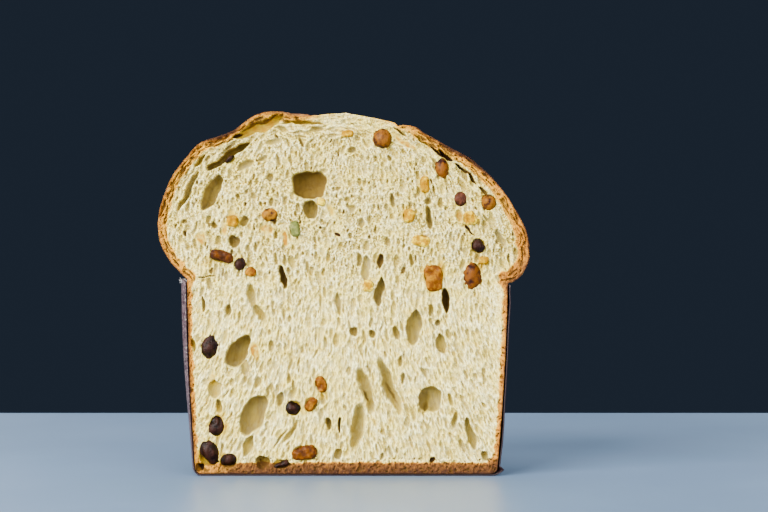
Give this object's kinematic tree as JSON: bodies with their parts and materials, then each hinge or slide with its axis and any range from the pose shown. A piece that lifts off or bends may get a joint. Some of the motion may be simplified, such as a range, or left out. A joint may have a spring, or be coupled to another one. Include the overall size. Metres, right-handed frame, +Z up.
{
  "type": "half panettone",
  "caption": "Half of a tall domed panettone, cut upright through the middle, with raisins and candied peel in the crumb, standing in its paper baking case.",
  "frame": {"origin": "middle of the overall box in plan, at the level that the paper case stands on", "axes": "+Z up through the crown, -Y the way the cut face looks, +X to the right of someone who looks at the cut face"},
  "size_m": [0.2045, 0.1037, 0.2016],
  "materials": {
    "crumb": "open golden crumb with a browned crust",
    "paper": "dark plum-brown baking paper",
    "raisin": "moist dark raisin",
    "plum_raisin": "moist purple-brown raisin",
    "amber_raisin": "moist amber raisin",
    "orange_peel": "candied orange peel, half clear",
    "citron": "candied yellow citron, half clear",
    "green_citron": "candied pale green citron, half clear"
  },
  "bodies": {
    "root": {"panettone": "crumb", "paper_case": "paper", "raisin_1": "raisin", "raisin_2": "raisin", "raisin_3": "raisin", "raisin_4": "raisin", "raisin_5": "raisin", "raisin_6": "raisin", "raisin_7": "raisin", "raisin_8": "raisin", "raisin_9": "raisin", "raisin_10": "plum_raisin", "raisin_11": "amber_raisin", "raisin_12": "amber_raisin", "raisin_13": "amber_raisin", "raisin_14": "amber_raisin", "raisin_15": "amber_raisin", "orange_peel_1": "orange_peel", "orange_peel_2": "orange_peel", "orange_peel_3": "orange_peel", "orange_peel_4": "orange_peel", "orange_peel_5": "orange_peel", "orange_peel_6": "orange_peel", "citron_1": "citron", "citron_2": "citron", "citron_3": "citron", "citron_4": "citron", "citron_5": "citron", "citron_6": "citron", "citron_7": "citron", "citron_8": "citron", "citron_9": "citron", "green_citron_1": "green_citron"}
  },
  "joints": []
}
